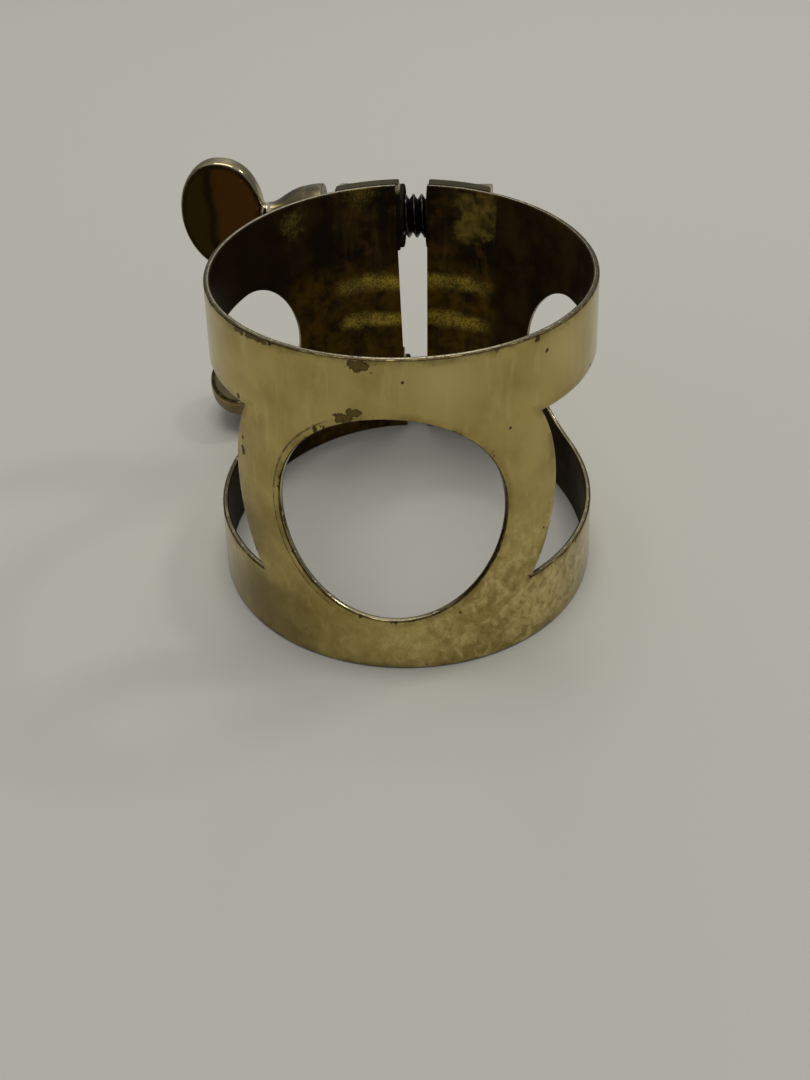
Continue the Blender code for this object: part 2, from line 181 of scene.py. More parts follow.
# The foot tops' colours are painted shade
FOOT_TOP_SHADE_DEEP, FOOT_TOP_SHADE_PALE = (0.030, 0.027, 0.012), (0.054, 0.047, 0.022)
# The darkest post colour is painted shade in the slit
SOLDER, POST_SLIT_SHADE = (0.34, 0.33, 0.29), (0.008, 0.007, 0.004)
TARNISHED, TARNISHED_PALE = (0.085, 0.071, 0.040), (0.145, 0.121, 0.066)
# Painted light on the paddles: the neck paler for its sheen, the side of the plate darker for shade
NECK, SIDE_SHADE = (0.46, 0.41, 0.28), (0.135, 0.112, 0.064)
# Rim tones of the plates: brass paled to paint the light on each paddle's rim, differently on the two
LIT_EDGING = {
    "upper": ((0.27, 0.225, 0.115), (0.38, 0.325, 0.195)),
    "lower": ((0.26, 0.180, 0.072), (0.36, 0.258, 0.112)),
}
# Each paddle's face is painted with what it reflects: grey on the lower one, dark olive and brown on the
# upper one
FACE_REFLECTION_TONES = {
    "upper": ((0.030, 0.020, 0.004), (0.060, 0.024, 0.005)),
    "lower": ((0.110, 0.088, 0.041), (0.160, 0.129, 0.062)),
}
# Painted reflections: the dark line across the upper face, and the dark line just inside each paddle's bead
REFLECTED_EDGE_DARK, FACE_EDGE_REFLECTION = (0.010, 0.006, 0.002), (0.018, 0.011, 0.003)
THREAD_DARK, THREAD_PALE, THREAD_CREST = (0.006, 0.0055, 0.005), (0.020, 0.017, 0.012), (0.17, 0.155, 0.12)

# Specular level of clean parts, and how metallic a stained part is
SPECULAR, STAINED_METAL = 0.5, 0.85

# Camera: place in millimetres, angles in radians
CAMERA = (4.27, -52.03, 45.82)
YAW, PITCH, LEAN = -0.087, 0.733, -0.029
LENS, SENSOR, CLIP = 30.19, 36.0, (0.001, 20.0)

# Floor and lights, in metres and watts; a light is its name, place, height aimed at, size and power
FLOOR, FLOOR_REACH, FLOOR_DROP = (0.54, 0.527, 0.468), 4.0, 0.00005
LAMP_WHITE, WORLD_WHITE, WORLD_STRENGTH = (1.0, 0.985, 0.95), (0.92, 0.95, 1.0), 0.25
LIGHTS = (
    ("softbox", (-0.03, 0.10, 0.46), 0.01, (0.95, 0.80), 0.75),
    ("overhead", (0.0, 0.06, 0.50), 0.01, (0.30, 0.30), 0.95),
    ("lamp", (0.33, 0.20, 0.40), 0.02, (0.075, 0.075), 0.30),
    ("back", (-0.022, 0.428, 0.28), 0.02, (0.09, 0.06), 0.07),
    ("back_left", (-0.095, 0.457, 0.205), 0.02, (0.10, 0.06), 0.028),
)


def lerp(start, end, share):
    return start + (end - start) * share


def smooth_max(first, second, blend):
    overlap = np.maximum(blend - np.abs(first - second), 0.0) / blend
    return np.maximum(first, second) + 0.25 * blend * overlap * overlap


def cone_radius(z):
    return lerp(BAND_BOTTOM_RADIUS, BAND_TOP_RADIUS, z / BAND_HEIGHT)


def band_radius(angle, z):
    """Outer radius of the band at an angle from the front and a height."""
    share = z / BAND_HEIGHT
    oval = lerp(OVAL_BOTTOM, OVAL_TOP, share) * np.cos(2 * angle)
    egg = lerp(EGG_BOTTOM, EGG_TOP, share) * np.cos(3 * angle)
    return cone_radius(z) * (1 + oval + egg)


def back_of_band(x, z):
    """The band's outer Y at the back, straight behind x."""
    radius = cone_radius(z)
    for _ in range(CONE_ROUNDS):
        angle = np.pi - np.arcsin(x / radius)
        radius = band_radius(angle, z)
    return -radius * np.cos(angle)


def new_piece(name, points, faces, sharp_degrees=SHARP_ANGLE):
    """A smooth-shaded mesh object from points in millimetres."""
    mesh = bpy.data.meshes.new(name)
    mesh.from_pydata((np.asarray(points) * MM).tolist(), [], faces)
    mesh.shade_smooth()
    mesh.set_sharp_from_angle(angle=math.radians(sharp_degrees))
    mark_bends(mesh)
    piece = bpy.data.objects.new(name, mesh)
    bpy.context.scene.collection.objects.link(piece)
    return piece


def mark(piece, name, values):
    """Stores a number for each point, for the materials to read."""
    mesh = getattr(piece, "data", piece)
    attribute = mesh.attributes.new(name, "FLOAT", "POINT")
    attribute.data.foreach_set("value", np.asarray(values, dtype=np.float32))


def mark_bends(mesh):
    """Stores how sharply the surface bends at each point, outwards and inwards, per millimetre."""
    points = np.empty(3 * len(mesh.vertices))
    normals = np.empty(3 * len(mesh.vertices))
    edges = np.empty(2 * len(mesh.edges), dtype=int)
    mesh.vertices.foreach_get("co", points)
    mesh.vertex_normals.foreach_get("vector", normals)
    mesh.edges.foreach_get("vertices", edges)
    points, normals = points.reshape(-1, 3) / MM, normals.reshape(-1, 3)
    first, second = edges.reshape(-1, 2).T
    step = points[second] - points[first]
    length = np.maximum(np.sum(step * step, axis=1), TINY)
    bend = np.sum((normals[second] - normals[first]) * step, axis=1) / length
    ridge, groove = np.zeros(len(points)), np.zeros(len(points))
    for ends in (first, second):
        np.maximum.at(ridge, ends, bend)
        np.maximum.at(groove, ends, -bend)
    mark(mesh, "ridge", ridge)
    mark(mesh, "groove", groove)


def loft(rings, loop=False):
    """Points and faces of a skin over equal rings; open ends are capped unless it loops."""
    count = len(rings[0])
    faces = []
    last = len(rings) if loop else len(rings) - 1
    for i in range(last):
        near = i * count
        far = (i + 1) % len(rings) * count
        for j in range(count):
            k = (j + 1) % count
            faces.append((near + j, near + k, far + k, far + j))
    if not loop:
        end = (len(rings) - 1) * count
        faces.append(tuple(range(count - 1, -1, -1)))
        faces.append(tuple(range(end, end + count)))
    return np.concatenate(rings), faces


def join(*parts):
    """Several (points, faces) pairs as one."""
    points, faces, first = [], [], 0
    for some_points, some_faces in parts:
        points.append(some_points)
        faces += [tuple(first + i for i in face) for face in some_faces]
        first += len(some_points)
    return np.concatenate(points), faces


def quarter(radius, steps):
    """(inset, depth) points of a rounded edge, from the face round to the side."""
    turn = np.linspace(0.0, np.pi / 2, steps + 1)
    return np.stack([radius * (1 - np.sin(turn)), radius * (1 - np.cos(turn))], axis=1)


# Band


def slit_angles(z):
    share = z / BAND_HEIGHT
    left = lerp(SLIT_LEFT_BOTTOM, SLIT_LEFT_TOP, share)
    right = lerp(SLIT_RIGHT_BOTTOM, SLIT_RIGHT_TOP, share)
    return (np.arcsin(left / cone_radius(z)) - np.pi,
            np.pi - np.arcsin(right / cone_radius(z)))


def edge_points(start, end, step):
    count = max(2, round(math.dist(start, end) / step))
    share = np.linspace(0.0, 1.0, count + 1)[:-1, None]
    return np.asarray(start) + (np.asarray(end) - np.asarray(start)) * share


def on_sheet(along, z):
    return np.stack([along * MEAN_RADIUS / cone_radius(z), z], axis=1)


def sheet_outline(step):
    corners = []
    for z, side in ((0.0, 0), (0.0, 1), (BAND_HEIGHT, 1), (BAND_HEIGHT, 0)):
        corners.append((float(slit_angles(z)[side]) * MEAN_RADIUS, z))
    sides = [edge_points(corners[i], corners[(i + 1) % 4], step) for i in range(4)]
    return np.concatenate(sides)


def hole_outline(step):
    count = round(2 * math.pi * HOLE_RADIUS / step)
    turn = np.linspace(0.0, 2 * np.pi, count, endpoint=False)
    return on_sheet(HOLE_RADIUS * np.sin(turn), HOLE_HEIGHT + HOLE_RADIUS * np.cos(turn))


def window_outline(side, step):
    corner = math.acos(WINDOW_HALF_HEIGHT / RING_RADIUS)
    turn = np.linspace(math.pi - corner, corner, ARC_POINTS)
    front = on_sheet(RING_RADIUS * np.sin(turn), HOLE_HEIGHT + RING_RADIUS * np.cos(turn))
    turn = np.linspace(0.0, np.pi, ARC_POINTS)
    back = np.stack([WINDOW_CENTRE + WINDOW_HALF_HEIGHT * np.sin(turn),
                     HOLE_HEIGHT + WINDOW_HALF_HEIGHT * np.cos(turn)], axis=1)
    long_edge = edge_points(front[-1], back[0], step)[1:]
    other_edge = edge_points(back[-1], front[0], step)[1:]
    points = np.concatenate([spaced_open(front, step), long_edge, spaced_open(back, step), other_edge])
    if side < 0:
        points = points[::-1] * np.array([-1.0, 1.0])
    return points


def spaced_open(points, step):
    """Points at even steps along an open line."""
    run = np.concatenate([[0.0], np.cumsum(np.hypot(*np.diff(points, axis=0).T))])
    marks = np.linspace(0.0, run[-1], max(4, round(run[-1] / step)) + 1)
    return np.stack([np.interp(marks, run, points[:, i]) for i in (0, 1)], axis=1)


def edge_distance(points):
    """Distance of each flat point from the nearest cut edge, below zero where there is no sheet."""
    along, z = points[:, 0], points[:, 1]
    up = z - HOLE_HEIGHT
    left, right = slit_angles(z)
    near = np.minimum(z, BAND_HEIGHT - z)
    near = np.minimum(near, np.minimum(along - left * MEAN_RADIUS, right * MEAN_RADIUS - along))
    from_hole = np.hypot(along * cone_radius(z) / MEAN_RADIUS, up)
    near = np.minimum(near, from_hole - HOLE_RADIUS)
    past = np.maximum(np.abs(along) - WINDOW_CENTRE, 0.0)
    window = np.maximum(np.hypot(past, up) - WINDOW_HALF_HEIGHT, RING_RADIUS - from_hole)
    return np.minimum(near, window)


def out_of_material(outline):
    """Mitred vectors out of the sheet along an outline that keeps the sheet on its left."""
    along = np.roll(outline, -1, axis=0) - outline
    along /= np.linalg.norm(along, axis=1)[:, None]
    after = np.stack([along[:, 1], -along[:, 0]], axis=1)
    before = np.roll(after, 1, axis=0)
    return (before + after) / (1 + np.sum(before * after, axis=1))[:, None]


def flat_sheet(step):
    """Flat points, triangles, rims by point number and (outline, outward) pairs of the cut sheet."""
    outlines = [sheet_outline(step), hole_outline(step), window_outline(1, step), window_outline(-1, step)]
    for i in range(len(outlines)):
        x, z = outlines[i].T
        turning = np.sum(x * np.roll(z, -1) - np.roll(x, -1) * z)
        if (turning > 0) != (i == 0):
            outlines[i] = outlines[i][::-1]
    pairs = [(outline, out_of_material(outline)) for outline in outlines]
    inset = [outline - out * EDGE_ROUND for outline, out in pairs]
    edges, first = [], 0
    for loop_points in inset:
        count = len(loop_points)
        edges += [(first + i, first + (i + 1) % count) for i in range(count)]
        first += count
    rows = np.arange(0.0, BAND_HEIGHT, step * ROW_STEP)
    columns = np.arange(-np.pi * MEAN_RADIUS, np.pi * MEAN_RADIUS, step)
    grid = []
    for i, z in enumerate(rows):
        shifted = columns + (i % 2) * step * 0.5
        grid.append(np.stack([shifted, np.full(len(columns), z)], axis=1))
    grid = np.concatenate(grid)
    grid = grid[edge_distance(grid) > EDGE_ROUND + 0.5 * step]
    points = np.concatenate(inset + [grid])
    made = delaunay_2d_cdt(points.tolist(), edges, [], 0, WELD)
    flat = np.array([tuple(p) for p in made[0]])
    triangles = np.array(made[2])
    middle = flat[triangles].mean(axis=1)
    place = np.zeros(len(points), dtype=int)
    for i, sources in enumerate(made[3]):
        place[sources] = i
    ends = np.cumsum([len(loop_points) for loop_points in inset])
    rims = np.split(place[:ends[-1]], ends[:-1])
    return flat, triangles[edge_distance(middle) > EDGE_ROUND + TRIM], rims, pairs


def roll(flat, depth):
    """Rolls flat points up; depth runs inwards from the outer face."""
    angle = flat[:, 0] / MEAN_RADIUS
    z = flat[:, 1]
    radius = band_radius(angle, z) - depth
    return np.stack([radius * np.sin(angle), -radius * np.cos(angle), z], axis=1)


def make_band():
    flat, triangles, rims, pairs = flat_sheet(GRAIN)
    count = len(flat)
    points = [roll(flat, 0.0), roll(flat, SHEET)]
    inner = [np.zeros(count), np.ones(count)]
    near_edge = [np.maximum(edge_distance(flat), 0.0)] * 2
    faces = [tuple(t) for t in triangles] + [tuple(t[::-1] + count) for t in triangles]
    first = 2 * count
    profile = quarter(EDGE_ROUND, SHEET_EDGE_STEPS)
    depths = np.concatenate([profile[1:, 1], SHEET - profile[::-1][:-1, 1]])
    insets = np.concatenate([profile[1:, 0], profile[::-1][:-1, 0]])
    for rim, (outline, out) in zip(rims, pairs):
        outer_ring = [int(i) for i in rim]
        rings = [outer_ring]
        for depth, back in zip(depths, insets):
            points.append(roll(outline - out * back, depth))
            inner.append(np.full(len(outline), depth / SHEET))
            near_edge.append(np.zeros(len(outline)))
            rings.append(list(range(first, first + len(outline))))
            first += len(outline)
        rings.append([i + count for i in outer_ring])
        for near, far in zip(rings[:-1], rings[1:]):
            for j in range(len(near)):
                k = (j + 1) % len(near)
                faces.append((near[k], near[j], far[j], far[k]))
    band = new_piece("band_sheet", np.concatenate(points), faces, SOFT_ANGLE)
    mark(band, "inner", np.concatenate(inner))
    mark(band, "edge", np.concatenate(near_edge))
    return band


# Posts


def screw_axis(level):
    z = FOOT[level][0] + AXIS_OVER_FOOT
    return float(back_of_band(0.0, z)) + AXIS_OFF_BAND, z


def barrel_profile(bore):
    """Closed (x, radius) walk of a barrel with rounded outer edges and chamfered bore mouths."""
    edge = quarter(POST_EDGE, EDGE_STEPS)
    walk = [(BARREL_NEAR + BORE_MOUTH, bore), (BARREL_NEAR, bore + BORE_MOUTH)]
    walk += [(BARREL_NEAR + depth, BARREL_RADIUS - inset) for inset, depth in edge]
    walk += [(BARREL_FAR - depth, BARREL_RADIUS - inset) for inset, depth in edge[::-1]]
    return walk + [(BARREL_FAR, bore + BORE_MOUTH), (BARREL_FAR - BORE_MOUTH, bore)]


def refine(walk):
    """Adds points along the long straight stretches of a profile."""
    fine = []
    for (x0, r0), (x1, r1) in zip(walk, walk[1:] + walk[:1]):
        count = max(1, round(math.dist((x0, r0), (x1, r1)) / WALL_STEP))
        fine += [(lerp(x0, x1, i / count), lerp(r0, r1, i / count)) for i in range(count)]
    return fine


def tube(walk, axis_y, axis_z, side):
    """A turned ring about X; where it would enter the band it is kept just outside it."""
    turn = np.linspace(0.0, 2 * np.pi, BARREL_SIDES, endpoint=False)
    rings = []
    for x, radius in walk:
        y = axis_y + radius * np.cos(turn)
        z = axis_z + radius * np.sin(turn)
        y = np.maximum(y, back_of_band(x, z) + SOLDER_GAP)
        rings.append(np.stack([np.full(BARREL_SIDES, side * x), y, z], axis=1))
    return loft(rings[::side], loop=True)


def foot(level, side):
    """Saddle foot with rounded edges, bent to the back of the band."""
    bottom, top = FOOT[level]
    edge = quarter(POST_EDGE, EDGE_STEPS)
    stations = [(FOOT_NEAR + depth, inset) for inset, depth in edge]
    stations += [(x, 0.0) for x in np.linspace(FOOT_NEAR, FOOT_FAR, FOOT_STATIONS)[2:-2]]
    stations += [(FOOT_FAR - depth, inset) for inset, depth in edge[::-1]]
    rings = []
    for x, inset in stations:
        low, high = bottom + inset, top - inset
        near, far = SOLDER_GAP, SOLDER_GAP + FOOT_THICKNESS - inset
        section = [(near, low), (near, high)]
        section += [(far - i, high - d) for i, d in edge]
        section += [(far - i, low + d) for i, d in edge[::-1]]
        n, z = np.array(section).T
        rings.append(np.stack([np.full(len(n), side * x), back_of_band(x, z) + n, z], axis=1))
    return loft(rings[::-side])


def flank(height, limit, wanted):
    """Hollow arc from the foot up to the barrel, as (over the foot, off the axis) points."""
    room = (limit ** 2 - BARREL_RADIUS ** 2 + height ** 2) / (2 * (BARREL_RADIUS + height))
    if room < FILLET_LEAST:
        return np.tile([(FLAT_LEDGE, AXIS_OVER_FOOT - FLAT_LEDGE)], (FLANK_STEPS, 1))
    fillet = min(room, wanted)
    reach = math.sqrt((BARREL_RADIUS + fillet) ** 2 - (height - fillet) ** 2)
    end = math.atan2(height - fillet, -reach)
    turn = np.linspace(-math.pi / 2, end if end < 0 else end - 2 * math.pi, FLANK_STEPS)
    return np.stack([fillet + fillet * np.sin(turn), reach + fillet * np.cos(turn)], axis=1)


def solder(level, side):
    """Solder between the foot and the barrel, with hollow flanks."""
    axis_y, axis_z = screw_axis(level)
    rings = []
    for x in np.linspace(FOOT_NEAR + SOLDER_INSET, FOOT_FAR - SOLDER_INSET, SOLDER_STATIONS):
        plate = float(back_of_band(x, axis_z)) + SOLDER_GAP + FOOT_THICKNESS
        above = flank(axis_y - plate, FOOT[level][1] - axis_z - FOOT_MARGIN, FILLET_ABOVE)
        below = flank(axis_y - plate, AXIS_OVER_FOOT - SOLDER_INSET, FILLET_BELOW) * np.array([1.0, -1.0])
        start, end = (-SOLDER_DEPTH, above[0, 1]), (-SOLDER_DEPTH, below[0, 1])
        section = np.concatenate([[start], above, below[::-1], [end]])
        y, z = plate + section[:, 0], axis_z + section[:, 1]
        rings.append(np.stack([np.full(len(y), side * x), y, z], axis=1))
    return loft(rings[::-side])


def make_post(level, side):
    axis_y, axis_z = screw_axis(level)
    walk = refine(barrel_profile(TAPPED_BORE if side > 0 else CLEAR_BORE))
    parts = foot(level, side), tube(walk, axis_y, axis_z, side), solder(level, side)
    name = level + ("_right" if side > 0 else "_left") + "_post_body"
    post = new_piece(name, *join(*parts))
    mark(post, "solder", np.repeat([0.0, 0.0, 1.0], [len(points) for points, _ in parts]))
    return post


# Thumbscrews


def on_axis(points, level):
    """From a screw's own axes, along X, to its place in the frame."""
    axis_y, axis_z = screw_axis(level)
    turn = Matrix.Rotation(TURN[level], 3, "X")
    turned = np.asarray(points) @ np.array(turn).T
    return turned + np.array([SHIFT[level], axis_y, axis_z])


def round_rings(walk, count):
    """Rings about X at (x, radius) places; a radius may vary around its ring."""
    turn = np.linspace(0.0, 2 * np.pi, count, endpoint=False)
    return [np.stack([np.full(count, x), r * np.cos(turn), r * np.sin(turn)], axis=1) for x, r in walk]


def thread_share(x, turn):
    """0 at the roots and 1 at the narrow flat crests of a right-hand thread."""
    phase = np.mod(x / THREAD_PITCH - turn / (2 * np.pi), 1.0)
    flank_share = np.abs(2 * phase - 1)
    return np.clip((THREAD_FLANK_END - flank_share) / THREAD_FLANK, 0.0, 1.0) ** THREAD_POWER


def make_stud(level):
    count = STUD_SIDES
    shoulder = COLLAR_FACE + RUNNING_GAP
    turn = np.linspace(0.0, 2 * np.pi, count, endpoint=False)
    rings = round_rings([(COLLAR_BACK, TENON_RADIUS), (shoulder, TENON_RADIUS)], count)
    for x in np.arange(shoulder, STUD_TIP + TINY, THREAD_PITCH / THREAD_STEPS):
        past_end = max(0.0, x - (STUD_TIP - STUD_CHAMFER), shoulder + THREAD_START - x)
        limit = THREAD_RADIUS - CHAMFER_SLOPE * past_end
        radius = np.minimum(lerp(THREAD_ROOT, THREAD_RADIUS, thread_share(x, turn)), limit)
        rings += round_rings([(x, radius)], count)
    points, faces = loft(rings)
    stud = new_piece(level + "_stud_thread", on_axis(points, level), faces, THREAD_ANGLE)
    height = (np.hypot(points[:, 1], points[:, 2]) - THREAD_ROOT) / (THREAD_RADIUS - THREAD_ROOT)
    mark(stud, "crest", np.clip(height, 0.0, 1.0))
    return stud


def make_collar(level):
    bore = TENON_RADIUS + RUNNING_GAP
    walk = [(COLLAR_BACK, bore)]
    for share in np.linspace(0.0, COLLAR_SWELL, SWELL_STEPS):
        swell = math.sin(0.5 * math.pi * share / COLLAR_SWELL)
        walk.append((lerp(COLLAR_BACK, COLLAR_FACE, share), lerp(FLARE_RADIUS, COLLAR_RADIUS, swell)))
    edge = quarter(COLLAR_EDGE, EDGE_STEPS)[::-1]
    walk += [(COLLAR_FACE - depth, COLLAR_RADIUS - inset) for inset, depth in edge]
    walk.append((COLLAR_FACE, bore))
    points, faces = loft(round_rings(refine(walk), COLLAR_SIDES), loop=True)
    return new_piece(level + "_collar_ring", on_axis(points, level), faces)


def neck_radius(x):
    """Trumpet flare from the collar to the neck, then a nose inside the paddle."""
    start = COLLAR_BACK - SHOWN_GAP
    share = np.clip((x - start) / (NECK_END - start), 0.0, 1.0)
    fall = lerp(share, 0.5 - 0.5 * np.cos(np.pi * share), 0.5 + 0.5 * share)
    flare = lerp(FLARE_RADIUS, NECK_RADIUS, fall)
    nose = np.clip((x - NECK_END) / (NECK_NOSE - NECK_END), 0.0, 1.0)
    return flare * np.sqrt(1 - nose * nose)


def paddle_half_width(x):
    """Half-width of the oval, fuller at the neck; it runs on below zero past the oval's near end."""
    along = (x - PADDLE_CENTRE) / PADDLE_HALF_LENGTH
    power = PADDLE_FULLNESS if along > 0 else 2.0
    inside = 1 - np.abs(along) ** power
    return PADDLE_HALF_WIDTH * np.sign(inside) * np.abs(inside) ** (1 / power)


def paddle_depth(x, v, width, slope):
    """How far a point is inside the paddle's outline."""
    a, b = (x - PADDLE_CENTRE) / PADDLE_HALF_LENGTH, v / PADDLE_HALF_WIDTH
    level = np.maximum(np.hypot(a, b), TINY)
    steepness = np.maximum(np.hypot(a / PADDLE_HALF_LENGTH, b / PADDLE_HALF_WIDTH), TINY)
    depth = (1 - level) * level / steepness
    if x > PADDLE_CENTRE:
        depth = np.maximum(depth, (width - np.abs(v)) / math.hypot(1.0, slope))
    return np.maximum(depth, 0.0)


def outline_width(x):
    """Half-width of the neck, the paddle or the soft shoulder between them."""
    if x > PADDLE_SHOULDER:
        return float(neck_radius(x))
    if x > SHOULDER_END:
        return float(smooth_max(paddle_half_width(x), neck_radius(x), SHOULDER_BLEND))
    return float(paddle_half_width(x))


def make_paddle(level):
    """Oval plate with a soft edge that runs into the round neck and its flare."""
    count = PADDLE_SIDES
    bend = math.acos((PLATE_START - PADDLE_CENTRE) / PADDLE_HALF_LENGTH)
    stations = np.concatenate([
        np.linspace(COLLAR_BACK - SHOWN_GAP, PADDLE_SHOULDER, NECK_STATIONS)[:-1],
        np.linspace(PADDLE_SHOULDER, PLATE_START, SHOULDER_STATIONS)[:-1],
        PADDLE_CENTRE + PADDLE_HALF_LENGTH * np.cos(np.linspace(bend, math.pi - TIP_ANGLE, PLATE_STATIONS)),
    ])
    turn = np.linspace(0.0, 2 * np.pi, count, endpoint=False)
    sign = np.sign(np.round(np.sin(turn), 9))
    widths = np.array([outline_width(x) for x in stations])
    slopes = np.gradient(widths, stations)
    rings, depths = [], []
    for x, width, slope in zip(stations, widths, slopes):
        v = width * np.cos(turn)
        depth = paddle_depth(x, v, width, slope)
        depths.append(depth)
        share = 1 - np.clip(depth / PADDLE_EDGE, 0.0, 1.0)
        fade = np.clip((NECK_END - x) / NECK_FADE, 0.0, 1.0)
        height = np.sqrt(np.maximum(neck_radius(x) ** 2 - v * v, 0.0))
        if x < NECK_END:
            plate = 0.5 * PADDLE_THICKNESS * fade * (1 - share ** EDGE_POWER) ** (1 / EDGE_POWER)
            height = smooth_max(plate, height, FACE_BLEND * np.clip(depth / FACE_BLEND, LEAST_BLEND, 1.0))
        rings.append(np.stack([np.full(count, x), -sign * height, v], axis=1))
    points, faces = loft(rings)
    paddle = new_piece(level + "_paddle_plate", on_axis(points, level), faces, SOFT_ANGLE)
    along = points[:, 0]
    mark(paddle, "face", np.where(along < NECK_END, np.concatenate(depths), 0.0))
    return paddle


# Materials


class Shader:
    """A material built from procedural nodes, with lengths in millimetres."""

    def __init__(self, name):
        self.material = bpy.data.materials.new(name)
        self.material.use_nodes = True
        self.nodes = self.material.node_tree.nodes
        self.links = self.material.node_tree.links
        self.surface = self.nodes["Principled BSDF"]
        self.place = self.vector("SCALE", self.node("TexCoord", {})["Object"], {"Scale": 1 / MM})

    def feed(self, socket, value):
        """Links a socket, or sets a constant on it."""
        if isinstance(value, bpy.types.NodeSocket):
            self.links.new(value, socket)
        elif socket.type == "RGBA":
            socket.default_value = (*value, 1.0)
        else:
            socket.default_value = value

    def finish(self, colour, metallic, roughness, normal, specular=SPECULAR):
        names = ("Base Color", "Metallic", "Roughness", "Normal", "Specular IOR Level")
        for name, value in zip(names, (colour, metallic, roughness, normal, specular)):
            self.feed(self.surface.inputs[name], value)
        return self.material

    def node(self, kind, inputs, **settings):
        """The outputs of a new node, with its settings made and its inputs fed."""
        node = self.nodes.new("ShaderNode" + kind)
        for name, value in settings.items():
            setattr(node, name, value)
        for name, value in inputs.items():
            self.feed(node.inputs[name], value)
        return node.outputs

    def vector(self, operation, first, others, output="Vector"):
        return self.node("VectorMath", {0: first, **others}, operation=operation)[output]

    def math(self, operation, first, second=0.0):
        return self.node("Math", {0: first, 1: second}, operation=operation)[0]

    def times(self, first, *others):
        for other in others:
            first = self.math("MULTIPLY", first, other)
        return first

    def either(self, first, *others):
        for other in others:
            first = self.math("MAXIMUM", first, other)
        return first

    def ramp(self, value, start, end):
        """Runs smoothly from 0 at start to 1 at end, whichever is the larger."""
        inputs = {"Value": value, "From Min": start, "From Max": end}
        return self.node("MapRange", inputs, interpolation_type="SMOOTHSTEP")["Result"]

    def span(self, share, low, high):
        """A number between low and high, by a share from 0 to 1."""
        return self.node("MapRange", {"Value": share, "To Min": low, "To Max": high})["Result"]

    def mix(self, share, first, second):
        return self.node("Mix", {0: share, 6: first, 7: second}, data_type="RGBA")[2]

    def noise(self, scale, detail=3.0, rough=0.55, stretch=None, warp=0.0):
        """Clouds with scale features to a millimetre, about 0.5 on the average."""
        place = self.vector("MULTIPLY", self.place, {1: stretch}) if stretch else self.place
        inputs = {"Vector": place, "Scale": scale, "Detail": detail, "Roughness": rough, "Distortion": warp}
        return self.node("TexNoise", inputs)["Fac"]

    def dots(self, scale, size, chosen):
        """Scattered round dots: size is a share of a cell, chosen the share of cells with one."""
        cells = self.node("TexVoronoi", {"Vector": self.place, "Scale": scale})
        picked = self.math("LESS_THAN", self.node("SeparateColor", {0: cells["Color"]})[0], chosen)
        return self.times(self.ramp(cells["Distance"], size, 0.6 * size), picked)

    def off(self, value, centre):
        """How far a value is from a number, either way."""
        return self.math("ABSOLUTE", self.math("SUBTRACT", value, centre))

    def flip(self, share):
        return self.math("SUBTRACT", 1.0, share)

    def sway(self, cloud, reach):
        """A length that varies about zero with a cloud."""
        return self.times(self.math("SUBTRACT", cloud, 0.5), reach)

    def spot(self, centre, reach, soft, raggedness, flake, flatness=1.0):
        """1 around a point and 0 beyond its reach, with a ragged edge."""
        here = self.vector("MULTIPLY", self.place, {1: (1.0, 1.0, flatness)})
        centre = (centre[0], centre[1], centre[2] * flatness)
        away = self.vector("DISTANCE", here, {1: centre}, "Value")
        return self.ramp(self.math("ADD", away, self.sway(flake, raggedness)), reach + soft, reach - soft)

    def attribute(self, name):
        return self.node("Attribute", {}, attribute_name=name)["Fac"]

    def axes(self):
        return self.node("SeparateXYZ", {0: self.place})

    def bump(self, height, depth, normal=None):
        inputs = {"Distance": depth * MM, "Height": height}
        if normal is not None:
            inputs["Normal"] = normal
        return self.node("Bump", inputs)["Normal"]


def band_zones(s):
    """Masks of the band's faces and edges, and the clouds that its colours share."""
    inner = s.attribute("inner")
    x, y, z = s.axes()
    across = s.math("ABSOLUTE", x)
    at_back = s.ramp(y, *BACK)
    # The slit mask paints shade: the band's cut ends in the slit take the dark inside colour, no metal
    # shine and no gloss, all but a strip at the top
    slit = s.times(s.ramp(across, *SLIT_SIDES), at_back, s.ramp(z, *SLIT_HEIGHT), s.ramp(inner, 0.04, 0.20))
    inside = s.either(s.ramp(inner, 0.58, 0.78), slit)
    up = s.math("SUBTRACT", z, HOLE_HEIGHT)
    from_hole = s.math("SQRT", s.math("ADD", s.times(x, x, HOLE_STRETCH), s.times(up, up)))
    low = s.times(
        s.ramp(z, *MOTTLE_HEIGHT),
        s.span(s.ramp(x, *MOTTLE_SIDES), 0.30, 1.0),
        s.span(s.ramp(y, *MOTTLE_FRONT), 0.15, 1.0),
    )
    return SimpleNamespace(
        x=x, z=z, across=across, at_back=at_back, slit=slit, inside=inside, low=low,
        edge=s.attribute("edge"),
        rim=s.times(s.ramp(inner, 0.12, 0.30), s.flip(inside)),
        seam=s.times(s.ramp(inner, 0.0, 0.06), s.ramp(inner, 0.36, 0.22)),
        by_hole=s.times(s.ramp(from_hole, *HOLE_RIM), s.ramp(y, *FRONT)),
        plate=s.times(s.ramp(across, *PLATE_SIDES), at_back),
        cloud=s.noise(0.28, 4.0),
        streak=s.noise(1.0, 4.0, stretch=(1.8, 1.8, 0.30)),
        grain=s.noise(11.0, 2.0),
        flake=s.noise(1.6, 5.0, 0.62),
        mottle=s.noise(1.5, 3.0, 0.6, stretch=(1.0, 1.0, 0.8), warp=0.4),
        cover=s.noise(0.35, 5.0),
    )


